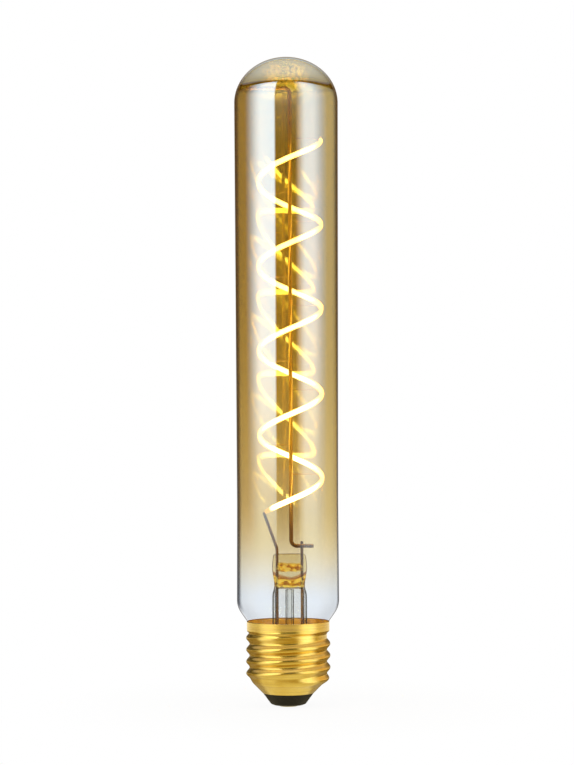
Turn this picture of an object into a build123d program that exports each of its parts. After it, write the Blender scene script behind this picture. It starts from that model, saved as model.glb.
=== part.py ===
from build123d import *
import os
from math import atan2, cos, degrees, pi, radians, sin, sqrt, tan

os.makedirs("parts", exist_ok=True)

# Tubular lamp, millimetres. Z runs up the tube, X is to the right seen from the front, which looks to -Y.
# The origin is the middle of the end contact's flat face.

# Glass envelope
overall_length = 200.0
tube_diameter = 32.0
dome_height = 14.0
dome_knuckle = 12.4
glass_wall = 0.9
neck_diameter = 22.0
neck_depth = 9.0
shoulder_drop = 1.9
shoulder_rise = 4.7
shoulder_break_inset = 1.0
shoulder_break = 3.6
shoulder_end = 8.0
inner_dome_runs = 3

# E27 screw shell, rolled from sheet
cap_height = 26.0
thread_diameter = 26.2
thread_root_diameter = 24.1
thread_pitch = 3.63
thread_first = 10.15
thread_first_angle = 180.0
thread_top_clear = 1.66
thread_fade_turns = 0.75
crest_width = 1.0
ridge_width = 3.0
ridge_sink = 0.2
skirt_diameter = 25.6
skirt_height = 3.3
skirt_step = 0.6
shell_sheet = 0.3
mouth_diameter = 15.5
mouth_height = 4.0
bowl_height = 5.9
cap_sides = 28

# Insulator and end contact
nose_diameter = 10.4
nose_chamfer = 1.0
insulator_inside = 1.6
contact_diameter = 6.4
contact_thickness = 0.4
rivet_diameter = 2.0
rivet_rise = 0.4

# Stem
mount_shift = 0.5
stem_diameter = 10.7
stem_wall = 0.8
stem_rise = 20.9
flare_height = 5.0
press_height = 11.9
press_waist = 9.4
waist_rise = 1.4
waist_length = 2.4
press_bulge = 10.8
bulge_drop = 4.1
press_head = 9.9
press_depth = 4.8
wedge_rise = 5.5
exhaust_diameter = 2.6
exhaust_bore = 1.4
exhaust_clear = 2.0
exhaust_entry = 2.0

# Wires of the mount, with eight-sided sections
wire_sides = 8
lead_diameter = 0.9
lead_spread = 7.7
post_lead_rise = 3.9
filament_lead_rise = 1.7
lead_bend_radius = 2.0
post_diameter = 1.2
post_shift = 1.05
post_foot_rise = 2.5
post_foot_reach = 6.9
post_foot_radius = 1.8
post_headroom = 9.5
post_tail_reach = 13.4
post_tail_radius = 1.6

# Filament: one helix wound anticlockwise going up
coil_diameter = 19.3
coil_rise = 14.1
coil_headroom = 25.6
coil_start_angle = -130.0
coil_full_turns = 4
coil_stations = 16
strip_width = 2.1
strip_thickness = 1.6
strip_flat = 1.2
tab_width = 1.4
tab_thickness = 0.4
tab_length = 2.5
support_diameter = 0.36
support_angles = (15.0, 140.0)

# Driver in the cap
board_diameter = 20.6
board_thickness = 1.0
board_clear = 0.5
chip_size = (4.9, 3.9, 1.5)
rectifier_size = (4.7, 3.9, 1.6)
capacitor_diameter = 5.0
capacitor_length = 7.5
resistor_diameter = 2.2
resistor_length = 3.2
thin_wire = 0.5

# Cement
ring_inset = 1.0
ring_drop = 1.5

# Fits
fit_gap = 0.05
bond_gap = 0.1

# Values worked out from the sizes above
tube_radius = tube_diameter / 2
dome_base = overall_length - dome_height
neck_radius = neck_diameter / 2
neck_bottom = cap_height - neck_depth
root_radius = thread_root_diameter / 2
thread_height = (thread_diameter - thread_root_diameter) / 2
skirt_radius = skirt_diameter / 2
skirt_bottom = cap_height - skirt_height
mouth_radius = mouth_diameter / 2
bowl_top = mouth_height + bowl_height
bowl_reach = root_radius - mouth_radius
bowl_radius = (bowl_reach ** 2 + bowl_height ** 2) / (2 * bowl_reach)
bowl_centre = root_radius - bowl_radius
insulator_top = mouth_height + insulator_inside
bore_radius = root_radius - shell_sheet
stem_radius = stem_diameter / 2
stem_bore = stem_radius - stem_wall
stem_top = cap_height + stem_rise
press_foot = stem_top - press_height
flare_rim = neck_radius - glass_wall - mount_shift - bond_gap
lead_radius = lead_diameter / 2
left_lead = mount_shift - lead_spread / 2
right_lead = mount_shift + lead_spread / 2
post_foot_height = stem_top + post_foot_rise
post_top = overall_length - post_headroom
post_radius = post_diameter / 2
post_front = -(post_radius + lead_radius + fit_gap)
coil_radius = coil_diameter / 2
coil_turns = coil_full_turns - coil_start_angle / 360
coil_bottom = stem_top + coil_rise
coil_pitch = (overall_length - coil_headroom - coil_bottom) / coil_turns
board_height = bowl_top + board_clear
board_top = board_height + board_thickness
thin_radius = thin_wire / 2


def bowl_radius_at(height, inset):
    """Radius of the shell at a height, round up to the bowl's top and straight above it, less an inset."""
    return bowl_centre + sqrt((bowl_radius - inset) ** 2 - max(0.0, bowl_top - height) ** 2)


def bowl_height_at(radius, inset):
    """Height of the shell's round lower shoulder at a radius, moved in by an inset."""
    return bowl_top - sqrt((bowl_radius - inset) ** 2 - (radius - bowl_centre) ** 2)


def lean(low_radius, low, high_radius, high):
    """Angle from upright of a flat side between two rings, in degrees."""
    return degrees(atan2((high_radius - low_radius) * cos(pi / cap_sides), high - low))


def coil_height_at(angle):
    """Height of the strip's middle at an angle counted from the front view's right."""
    return coil_bottom + coil_pitch * (angle - coil_start_angle) / 360


# Glass envelope: the wall's section turned about Z, with arcs outside the dome and straight runs inside it
crown_radius = (tube_radius - dome_knuckle) ** 2 + dome_height ** 2 - dome_knuckle ** 2
crown_radius = crown_radius / (2 * (dome_height - dome_knuckle))
crown_start = degrees(atan2(crown_radius - dome_height, tube_radius - dome_knuckle))
shoulder_slope = atan2(tube_radius - neck_radius, shoulder_rise + shoulder_drop)
shoulder_lift = glass_wall * tan(shoulder_slope / 2)
inner_radius = tube_radius - glass_wall
inner_rise = dome_height - glass_wall
dome_step = pi / 2 / inner_dome_runs
with BuildPart() as envelope:
    with BuildSketch(Plane.XZ):
        with BuildLine():
            side = Polyline(
                (neck_radius, neck_bottom),
                (neck_radius, cap_height - shoulder_drop),
                (tube_radius - shoulder_break_inset, cap_height + shoulder_break),
                (tube_radius, cap_height + shoulder_end),
                (tube_radius, dome_base),
            )
            CenterArc((tube_radius - dome_knuckle, dome_base), dome_knuckle, 0, crown_start)
            crown = CenterArc((0, overall_length - crown_radius), crown_radius, crown_start, 90 - crown_start)
            dome = [
                (inner_radius * cos(run * dome_step), dome_base + inner_rise * sin(run * dome_step))
                for run in range(inner_dome_runs)
            ]
            Polyline(
                side @ 0,
                (neck_radius - glass_wall, neck_bottom),
                (neck_radius - glass_wall, cap_height - shoulder_drop + shoulder_lift),
                (inner_radius, cap_height + shoulder_rise + shoulder_lift),
                *dome,
                (0, overall_length - glass_wall),
                crown @ 1,
            )
        make_face()
    revolve(axis=Axis.Z)
envelope.part.label = "glass_envelope"
export_step(envelope.part, "parts/glass_envelope.step")

# Rolled thread: a ridge lofted through sections round the shell, each a little higher than the last.
# It rises out of the wall over the first part of a turn and sinks back over the last.
thread_full_turns = (skirt_bottom - thread_top_clear - thread_first) / thread_pitch
thread_turns = thread_full_turns + 2 * thread_fade_turns
thread_steps = round(thread_turns * cap_sides)
fade_steps = thread_fade_turns * cap_sides
half_crest = crest_width / 2
with BuildPart() as ridge:
    for step in range(thread_steps + 1):
        turn = step / cap_sides - thread_fade_turns
        angle = radians(thread_first_angle) + 2 * pi * turn
        height = thread_first + thread_pitch * turn
        share = min(1.0, step / fade_steps, (thread_steps - step) / fade_steps)
        half_foot = half_crest + (ridge_width / 2 - half_crest) * share + ridge_sink
        rise = (thread_height + ridge_sink / 2) * share - ridge_sink / 2
        section = Plane((0, 0, 0), x_dir=(cos(angle), sin(angle), 0), z_dir=(sin(angle), -cos(angle), 0))
        with BuildSketch(section):
            with BuildLine():
                Polyline(
                    (bowl_radius_at(height - half_foot, 0.0) - ridge_sink, height - half_foot),
                    (bowl_radius_at(height - half_crest, 0.0) + rise, height - half_crest),
                    (bowl_radius_at(height + half_crest, 0.0) + rise, height + half_crest),
                    (bowl_radius_at(height + half_foot, 0.0) - ridge_sink, height + half_foot),
                    close=True,
                )
            make_face()
    loft(ruled=True)

# Screw shell: round sheet drawn with flat sides, ring upon ring, drawn rim down and then turned over
bowl_heights = (mouth_height, insulator_top, (insulator_top + bowl_top) / 2, bowl_top)
outer_rings = [(bowl_radius_at(height, 0.0), height) for height in bowl_heights]
outer_rings.append((root_radius, skirt_bottom))
outer_rings.append((skirt_radius, skirt_bottom + skirt_step))
outer_rings.append((skirt_radius, cap_height))
inner_rings = [(mouth_radius, bowl_height_at(mouth_radius, shell_sheet))]
inner_rings += [(bowl_radius_at(height, shell_sheet), height) for height in bowl_heights[1:]]
inner_rings.append((bore_radius, skirt_bottom + shell_sheet / 2))
inner_rings.append((skirt_radius - shell_sheet, skirt_bottom + skirt_step + shell_sheet / 2))
inner_rings.append((skirt_radius - shell_sheet, cap_height))
with BuildPart() as shell_form:
    for low, high in zip(outer_rings, outer_rings[1:]):
        with BuildSketch(Plane.XY.offset(-high[1])):
            RegularPolygon(high[0], cap_sides)
        extrude(amount=high[1] - low[1], taper=lean(*low, *high))
    mirror(about=Plane.XY, mode=Mode.REPLACE)

with BuildPart() as hollow_form:
    for low, high in zip(inner_rings, inner_rings[1:]):
        with BuildSketch(Plane.XY.offset(-high[1])):
            RegularPolygon(high[0], cap_sides)
        extrude(amount=high[1] - low[1], taper=lean(*low, *high))
    mirror(about=Plane.XY, mode=Mode.REPLACE)

with BuildPart() as shell:
    add(shell_form.part)
    add(ridge.part)
    add(hollow_form.part, mode=Mode.SUBTRACT)
    with BuildSketch(Plane.XY.offset(mouth_height)):
        RegularPolygon(mouth_radius, cap_sides)
    extrude(amount=inner_rings[0][1] - mouth_height, mode=Mode.SUBTRACT)
shell.part.label = "screw_shell"
export_step(shell.part, "parts/screw_shell.step")

# Insulator: black cone under the shell, its top filling the bottom of the bowl
seat_inset = shell_sheet + fit_gap
insulator_rings = (
    (nose_diameter / 2 - nose_chamfer, contact_thickness),
    (nose_diameter / 2, contact_thickness + nose_chamfer / 2),
    (mouth_radius - fit_gap, bowl_height_at(mouth_radius, seat_inset)),
    (bowl_radius_at(insulator_top, seat_inset), insulator_top),
)
with BuildPart() as insulator:
    for low, high in zip(insulator_rings, insulator_rings[1:]):
        with BuildSketch(Plane.XY.offset(-high[1])):
            RegularPolygon(high[0], cap_sides)
        extrude(amount=high[1] - low[1], taper=lean(*low, *high))
    mirror(about=Plane.XY, mode=Mode.REPLACE)
    with BuildSketch(Plane.XY.offset(contact_thickness)):
        RegularPolygon(rivet_diameter / 2 + fit_gap, cap_sides)
    extrude(amount=insulator_top - contact_thickness, mode=Mode.SUBTRACT)
insulator.part.label = "cap_insulator"
export_step(insulator.part, "parts/cap_insulator.step")

# End contact: a disc with a rivet through the insulator
with BuildPart() as contact:
    with BuildSketch(Plane.XY):
        RegularPolygon(contact_diameter / 2, cap_sides)
    extrude(amount=contact_thickness)
    chamfer(contact.faces().sort_by(Axis.Z)[0].edges(), contact_thickness / 3)
    with BuildSketch(Plane.XY.offset(contact_thickness)):
        RegularPolygon(rivet_diameter / 2, cap_sides)
    extrude(amount=insulator_top + rivet_rise - contact_thickness)
contact.part.label = "centre_contact"
export_step(contact.part, "parts/centre_contact.step")

# Cement ring between the glass neck and the shell
ring_bottom = neck_bottom + ring_inset
ring_top = cap_height - shoulder_drop - ring_drop
with BuildPart() as cement:
    with BuildSketch(Plane.XY.offset(ring_bottom)):
        RegularPolygon(bore_radius - fit_gap, cap_sides)
        RegularPolygon(neck_radius + fit_gap, cap_sides, major_radius=False, mode=Mode.SUBTRACT)
    extrude(amount=ring_top - ring_bottom)
cement.part.label = "basing_cement"
export_step(cement.part, "parts/basing_cement.step")

# Press: front outline, side outline and round plan brought together, on top of the stem's tube
stem_axis = Axis((mount_shift, 0, 0), (0, 0, 1))
stem_plane = Plane((mount_shift, 0, 0), x_dir=(1, 0, 0), z_dir=(0, -1, 0))
side_plane = Plane((mount_shift, 0, 0), x_dir=(0, 1, 0), z_dir=(1, 0, 0))
with BuildPart() as press:
    with BuildSketch(stem_plane):
        with BuildLine():
            flank = Polyline(
                (0, press_foot),
                (stem_radius, press_foot),
                (press_waist / 2, press_foot + waist_rise),
                (press_waist / 2, press_foot + waist_rise + waist_length),
            )
            widest = (press_bulge / 2, stem_top - bulge_drop)
            bulge = ThreePointArc(flank @ 1, widest, (press_head / 2, stem_top))
            Line(bulge @ 1, (0, stem_top))
            mirror(about=Plane.YZ)
        make_face()
    extrude(amount=stem_radius, both=True)
    with BuildSketch(side_plane):
        with BuildLine():
            Polyline(
                (0, press_foot),
                (stem_radius, press_foot),
                (press_depth / 2, press_foot + wedge_rise),
                (press_depth / 2, stem_top),
                (0, stem_top),
            )
            mirror(about=Plane.YZ)
        make_face()
    extrude(amount=stem_diameter, both=True, mode=Mode.INTERSECT)
    with BuildSketch(Plane((mount_shift, 0, press_foot))):
        Circle(press_bulge / 2)
    extrude(amount=stem_top - press_foot, mode=Mode.INTERSECT)

# Stem: a flared tube with flat sides, closed by the press, with holes for the wires
flare_lean = -lean(flare_rim, 0, stem_radius, flare_height)
with BuildPart() as stem:
    with BuildSketch(Plane((mount_shift, 0, neck_bottom - stem_wall))):
        RegularPolygon(flare_rim, cap_sides)
    extrude(amount=stem_wall)
    with BuildSketch(Plane((mount_shift, 0, neck_bottom))):
        RegularPolygon(flare_rim, cap_sides)
    extrude(amount=flare_height, taper=flare_lean)
    with BuildSketch(Plane((mount_shift, 0, neck_bottom))):
        RegularPolygon(stem_radius, cap_sides)
    extrude(amount=press_foot - neck_bottom)
    with BuildSketch(Plane((mount_shift, 0, neck_bottom - stem_wall))):
        RegularPolygon(flare_rim - bond_gap, cap_sides)
    extrude(amount=flare_height, taper=flare_lean, mode=Mode.SUBTRACT)
    with BuildSketch(Plane((mount_shift, 0, neck_bottom - stem_wall))):
        RegularPolygon(stem_bore, cap_sides)
    extrude(amount=press_foot - neck_bottom + stem_wall, mode=Mode.SUBTRACT)
    add(press.part)
    with BuildSketch(Plane((mount_shift, 0, press_foot - 1.0))):
        with Locations((-lead_spread / 2, 0), (lead_spread / 2, 0)):
            RegularPolygon(lead_radius, wire_sides)
    extrude(amount=stem_top, mode=Mode.SUBTRACT)
    with BuildSketch(Plane((mount_shift, 0, press_foot - 1.0))):
        RegularPolygon(exhaust_diameter / 2, wire_sides * 2)
    extrude(amount=exhaust_entry + 1.0, mode=Mode.SUBTRACT)
stem.part.label = "glass_stem"
export_step(stem.part, "parts/glass_stem.step")

# Exhaust tube, sealed at its lower end
exhaust_tip = board_top + exhaust_clear
exhaust_length = press_foot + exhaust_entry - exhaust_tip
with BuildPart() as exhaust:
    with BuildSketch(Plane((mount_shift, 0, exhaust_tip))):
        RegularPolygon(exhaust_diameter / 2, wire_sides * 2)
    extrude(amount=exhaust_length)
    with BuildSketch(Plane((mount_shift, 0, exhaust_tip + exhaust_bore))):
        RegularPolygon(exhaust_bore / 2, wire_sides * 2)
    extrude(amount=exhaust_length - exhaust_bore, mode=Mode.SUBTRACT)
exhaust.part.label = "exhaust_tube"
export_step(exhaust.part, "parts/exhaust_tube.step")

# Filament: a strip with a six-sided section, lofted through sections along the helix
coil_steps = round(coil_turns * coil_stations)
with BuildPart() as filament:
    with BuildLine(Plane((post_shift, post_front, coil_bottom))) as coil:
        Helix(coil_pitch, coil_pitch * coil_turns, coil_radius)
    winding = coil.line.rotate(Axis((post_shift, post_front, 0), (0, 0, 1)), coil_start_angle)
    for step in range(coil_steps + 1):
        spot = winding @ (step / coil_steps)
        outward = (spot.X - post_shift, spot.Y - post_front, 0)
        with BuildSketch(Plane(spot, x_dir=outward, z_dir=winding % (step / coil_steps))):
            with BuildLine():
                Polyline(
                    (-strip_thickness / 2, -strip_flat / 2),
                    (0, -strip_width / 2),
                    (strip_thickness / 2, -strip_flat / 2),
                    (strip_thickness / 2, strip_flat / 2),
                    (0, strip_width / 2),
                    (-strip_thickness / 2, strip_flat / 2),
                    close=True,
                )
            make_face()
    loft(ruled=True)
filament.part.label = "filament"
export_step(filament.part, "parts/filament.step")
low_end = winding @ 0
low_way = winding % 0
low_out = (low_end.X - post_shift, low_end.Y - post_front, 0)
high_end = winding @ 1
high_way = winding % 1
high_out = (high_end.X - post_shift, high_end.Y - post_front, 0)

# Metal tabs at the two ends of the strip
with BuildPart() as low_tab:
    with BuildSketch(Plane(low_end, x_dir=low_out, z_dir=low_way)):
        Rectangle(tab_thickness, tab_width)
    extrude(amount=-tab_length)
low_tab.part.label = "lower_terminal"
export_step(low_tab.part, "parts/lower_terminal.step")

with BuildPart() as high_tab:
    with BuildSketch(Plane(high_end, x_dir=high_out, z_dir=high_way)):
        Rectangle(tab_thickness, tab_width)
    extrude(amount=tab_length)
high_tab.part.label = "upper_terminal"
export_step(high_tab.part, "parts/upper_terminal.step")

# Left wire: up from the board through the press, then out to the lower tab
low_joint = low_end - low_way * (tab_length + lead_radius + fit_gap)
lead_foot = board_top + fit_gap
with BuildPart() as filament_lead:
    with BuildLine() as lead_path:
        FilletPolyline(
            (left_lead, 0, lead_foot),
            (left_lead, 0, stem_top + filament_lead_rise),
            low_joint,
            radius=lead_bend_radius,
        )
    with BuildSketch(Plane((left_lead, 0, lead_foot))):
        RegularPolygon(lead_radius, wire_sides)
    sweep(path=lead_path.line)
filament_lead.part.label = "filament_lead"
export_step(filament_lead.part, "parts/filament_lead.step")

# Right wire: straight, ending just above the foot of the post
with BuildPart() as post_lead:
    with BuildSketch(Plane((right_lead, 0, lead_foot))):
        RegularPolygon(lead_radius, wire_sides)
    extrude(amount=stem_top + post_lead_rise - lead_foot)
post_lead.part.label = "post_lead"
export_step(post_lead.part, "parts/post_lead.step")

# Centre post: foot welded across the right wire, bent top reaching to the left wall
with BuildPart() as post:
    with BuildLine() as post_path:
        FilletPolyline(
            (post_shift + post_foot_reach, post_front, post_foot_height),
            (post_shift, post_front, post_foot_height),
            (post_shift, post_front, post_top),
            (post_shift - post_tail_reach, post_front, post_top),
            radius=(post_foot_radius, post_tail_radius),
        )
    with BuildSketch(Plane(post_path.line @ 0, z_dir=post_path.line % 0)):
        RegularPolygon(post_radius, wire_sides)
    sweep(path=post_path.line)
post.part.label = "centre_post"
export_step(post.part, "parts/centre_post.step")

# Jumper from the post to the upper tab
high_joint = high_end + high_way * (tab_length * 0.6)
jumper_start = Vector(post_shift, post_front, high_joint.Z)
jumper_way = (high_joint - jumper_start).normalized()
jumper_length = (high_joint - jumper_start).length - post_radius - tab_thickness / 2 - bond_gap - fit_gap
with BuildPart() as jumper:
    with BuildSketch(Plane(jumper_start + jumper_way * (post_radius + fit_gap), z_dir=jumper_way)):
        RegularPolygon(support_diameter / 2, wire_sides)
    extrude(amount=jumper_length)
jumper.part.label = "upper_jumper"
export_step(jumper.part, "parts/upper_jumper.step")

# Support wires: two to each turn, from the post out to the inside of the strip
support_length = coil_radius - strip_thickness / 2 - post_radius - bond_gap - fit_gap
support_count = 0
for turn in range(coil_full_turns):
    for angle in support_angles:
        support_count += 1
        support_way = Vector(cos(radians(angle)), sin(radians(angle)), 0)
        support_root = Vector(post_shift, post_front, coil_height_at(angle + 360 * turn))
        with BuildPart() as support:
            with BuildSketch(Plane(support_root + support_way * (post_radius + fit_gap), z_dir=support_way)):
                RegularPolygon(support_diameter / 2, wire_sides)
            extrude(amount=support_length)
        support.part.label = f"support_wire_{support_count}"
        export_step(support.part, f"parts/support_wire_{support_count}.step")

# Driver board: a round board that the two wires end on
with BuildPart() as board:
    with BuildSketch(Plane.XY.offset(board_height)):
        RegularPolygon(board_diameter / 2, cap_sides)
    extrude(amount=board_thickness)
board.part.label = "driver_board"
export_step(board.part, "parts/driver_board.step")

# Driver chip on top of the board, at the front
with BuildPart() as chip:
    with BuildSketch(Plane((0, -board_diameter / 4, board_top + fit_gap))):
        Rectangle(chip_size[0], chip_size[1])
    extrude(amount=chip_size[2])
    chamfer(chip.faces().sort_by(Axis.Z)[-1].edges(), 0.3)
chip.part.label = "driver_chip"
export_step(chip.part, "parts/driver_chip.step")

# Rectifier under the board
with BuildPart() as rectifier:
    with BuildSketch(Plane((0, -board_diameter / 4, board_height - fit_gap))):
        Rectangle(rectifier_size[0], rectifier_size[1])
    extrude(amount=-rectifier_size[2])
    chamfer(rectifier.faces().sort_by(Axis.Z)[0].edges(), 0.3)
rectifier.part.label = "rectifier"
export_step(rectifier.part, "parts/rectifier.step")

# Buffer capacitor lying on the board at the back
capacitor_radius = capacitor_diameter / 2
capacitor_start = (-capacitor_length / 2, board_diameter / 4, board_top + capacitor_radius + fit_gap)
with BuildPart() as capacitor:
    with BuildSketch(Plane(capacitor_start, z_dir=(1, 0, 0))):
        RegularPolygon(capacitor_radius, wire_sides * 2)
    extrude(amount=capacitor_length)
capacitor.part.label = "buffer_capacitor"
export_step(capacitor.part, "parts/buffer_capacitor.step")

# Fuse resistor standing under the board, its leads running up to the board and down to the rivet
rivet_top = insulator_top + rivet_rise
resistor_foot = (board_height + rivet_top - resistor_length) / 2
with BuildPart() as resistor:
    with BuildSketch(Plane.XY.offset(resistor_foot)):
        RegularPolygon(resistor_diameter / 2, wire_sides)
    extrude(amount=resistor_length)
    with BuildSketch(Plane.XY.offset(rivet_top + fit_gap)):
        RegularPolygon(thin_radius, wire_sides)
    extrude(amount=board_height - rivet_top - 2 * fit_gap)
resistor.part.label = "fuse_resistor"
export_step(resistor.part, "parts/fuse_resistor.step")

# Shell wire: off the edge of the board and up between the neck and the shell
shell_wire_radius = (neck_radius + bore_radius) / 2
shell_wire_height = board_top + thin_radius + fit_gap
with BuildPart() as shell_wire:
    with BuildLine() as shell_path:
        Polyline(
            (0, -shell_wire_radius + 2.0, shell_wire_height),
            (0, -shell_wire_radius, shell_wire_height),
            (0, -shell_wire_radius, ring_bottom - fit_gap),
        )
    with BuildSketch(Plane(shell_path.line @ 0, z_dir=shell_path.line % 0)):
        RegularPolygon(thin_radius, wire_sides)
    sweep(path=shell_path.line, transition=Transition.RIGHT)
shell_wire.part.label = "shell_wire"
export_step(shell_wire.part, "parts/shell_wire.step")
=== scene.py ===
import bpy
import numpy as np
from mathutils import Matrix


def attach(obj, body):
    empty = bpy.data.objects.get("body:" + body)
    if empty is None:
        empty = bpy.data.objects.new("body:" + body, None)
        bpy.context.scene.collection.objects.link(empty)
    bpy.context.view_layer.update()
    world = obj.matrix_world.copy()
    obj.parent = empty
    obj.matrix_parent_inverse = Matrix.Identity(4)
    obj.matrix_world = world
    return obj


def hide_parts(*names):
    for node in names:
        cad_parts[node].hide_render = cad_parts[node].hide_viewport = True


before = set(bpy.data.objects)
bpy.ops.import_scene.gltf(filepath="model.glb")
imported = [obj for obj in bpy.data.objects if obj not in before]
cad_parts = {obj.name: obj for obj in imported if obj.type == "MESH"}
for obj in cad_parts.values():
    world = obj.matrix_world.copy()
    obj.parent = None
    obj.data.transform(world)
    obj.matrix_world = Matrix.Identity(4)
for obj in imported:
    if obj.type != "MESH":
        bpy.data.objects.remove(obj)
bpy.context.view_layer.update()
print("frame loaded,", len(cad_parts), "nodes")

mm = 0.001  # one millimetre in metres
turn = 2 * np.pi


class Signal:
    # a shader socket that takes part in plain arithmetic: each operator adds one Math node
    def __init__(self, finish, socket):
        self.finish = finish
        self.socket = socket

    def maths(self, operation, first, second=0.0):
        # one Math node on one or two values
        return self.finish.add("ShaderNodeMath", {"operation": operation}, {0: first, 1: second})

    def __add__(self, other):
        return self.maths("ADD", self, other)

    def __sub__(self, other):
        return self.maths("SUBTRACT", self, other)

    def __mul__(self, other):
        return self.maths("MULTIPLY", self, other)

    def __truediv__(self, other):
        return self.maths("DIVIDE", self, other)

    def __pow__(self, other):
        return self.maths("POWER", self, other)

    def __radd__(self, other):
        return self.maths("ADD", other, self)

    def __rsub__(self, other):
        return self.maths("SUBTRACT", other, self)

    def __rmul__(self, other):
        return self.maths("MULTIPLY", other, self)

    def __rtruediv__(self, other):
        return self.maths("DIVIDE", other, self)

    def larger(self, other):
        # whichever of the two is larger
        return self.maths("MAXIMUM", self, other)

    def step(self, start, end):
        # 0 before start, 1 after end, and 3tt - 2ttt between them
        values = {"Value": self, "From Min": start, "From Max": end}
        return self.finish.add("ShaderNodeMapRange", {"interpolation_type": "SMOOTHSTEP"}, values)


class Finish:
    # one material, or the world, with its nodes
    def __init__(self, name, world=None):
        self.owner = world or bpy.data.materials.new(name)
        self.owner.use_nodes = True
        self.tree = self.owner.node_tree
        self.tree.nodes.clear()
        kind = "ShaderNodeOutputWorld" if world else "ShaderNodeOutputMaterial"
        self.out = self.tree.nodes.new(kind)

    def add(self, kind, settings=None, values=None, out=0):
        # any node: its settings come first, then each socket gets a link or a value, and a colour of three
        # gets alpha 1
        node = self.tree.nodes.new(kind)
        for key, value in (settings or {}).items():
            setattr(node, key, value)
        for key, value in (values or {}).items():
            socket = node.inputs[key]
            if isinstance(value, Signal):
                self.tree.links.new(value.socket, socket)
            elif socket.type == "RGBA" and len(value) == 3:
                socket.default_value = (*value, 1.0)
            else:
                socket.default_value = value
        return Signal(self, node.outputs[out])

    def axisOf(self, vector, axis):
        # one coordinate of a vector
        return self.add("ShaderNodeSeparateXYZ", values={0: vector}, out=axis)

    def place(self, axis=None):
        # object coordinates in metres, or one of them
        where = self.add("ShaderNodeTexCoord", out=3)
        return where if axis is None else self.axisOf(where, axis)

    def along(self):
        # share of the way along the piece, from its own UV map
        return self.axisOf(self.add("ShaderNodeUVMap", {"uv_map": "along"}), 0)

    def facing(self):
        # for glass and clear skins: 0 where the wall is seen face on, 1 where it is seen edge on
        return self.add("ShaderNodeLayerWeight", values={"Blend": 0.5}, out=1)

    def ray(self, kind):
        # 1 for light rays of that kind and 0 for the rest
        path = self.add("ShaderNodeLightPath").socket.node
        return Signal(self, path.outputs[f"Is {kind} Ray"])

    def noise(self, scale, detail=3.0, stretch=(1.0, 1.0, 1.0)):
        # cloudy noise round 0.5, finer with the scale and drawn out along an axis whose stretch is small
        spot = self.add("ShaderNodeMapping", values={"Vector": self.place(), "Scale": stretch})
        return self.add("ShaderNodeTexNoise", values={"Vector": spot, "Scale": scale, "Detail": detail})

    def blend(self, share, first, second):
        # colours: first * (1 - share) + second * share
        return self.add("ShaderNodeMix", {"data_type": "RGBA"}, {0: share, 6: first, 7: second}, out=2)

    def bump(self, height, strength, distance):
        # a normal tipped by the slope of the height
        sockets = {"Height": height, "Strength": strength, "Distance": distance}
        return self.add("ShaderNodeBump", values=sockets)

    def sheet(self, colour):
        # a thin sheet that multiplies what is seen through it by its colour
        return self.add("ShaderNodeBsdfTransparent", values={"Color": colour})

    def gloss(self, colour, **sockets):
        # a mirror of that colour
        return self.add("ShaderNodeBsdfGlossy", values={"Color": colour, **sockets})

    def glow(self, colour, strength=1.0):
        # light of its own
        return self.add("ShaderNodeEmission", values={"Color": colour, "Strength": strength})

    def mixed(self, share, first, second):
        # shaders: first * (1 - share) + second * share
        return self.add("ShaderNodeMixShader", values={0: share, 1: first, 2: second})

    def body(self, **sockets):
        # the general shader, with _ for the spaces in its sockets' names
        named = {key.replace("_", " "): value for key, value in sockets.items()}
        return self.add("ShaderNodeBsdfPrincipled", values=named)

    def show(self, shader):
        # the shader goes to the output, and the material or world comes back
        self.tree.links.new(shader.socket, self.out.inputs["Surface"])
        return self.owner


# lengths are in millimetres until a mesh is made


def unit(vector):
    # a vector over its own length
    return vector / np.linalg.norm(vector, axis=-1, keepdims=True)


def placed(name, data):
    # an object at the origin, linked to the scene
    thing = bpy.data.objects.new(name, data)
    bpy.context.scene.collection.objects.link(thing)
    return thing


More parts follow.
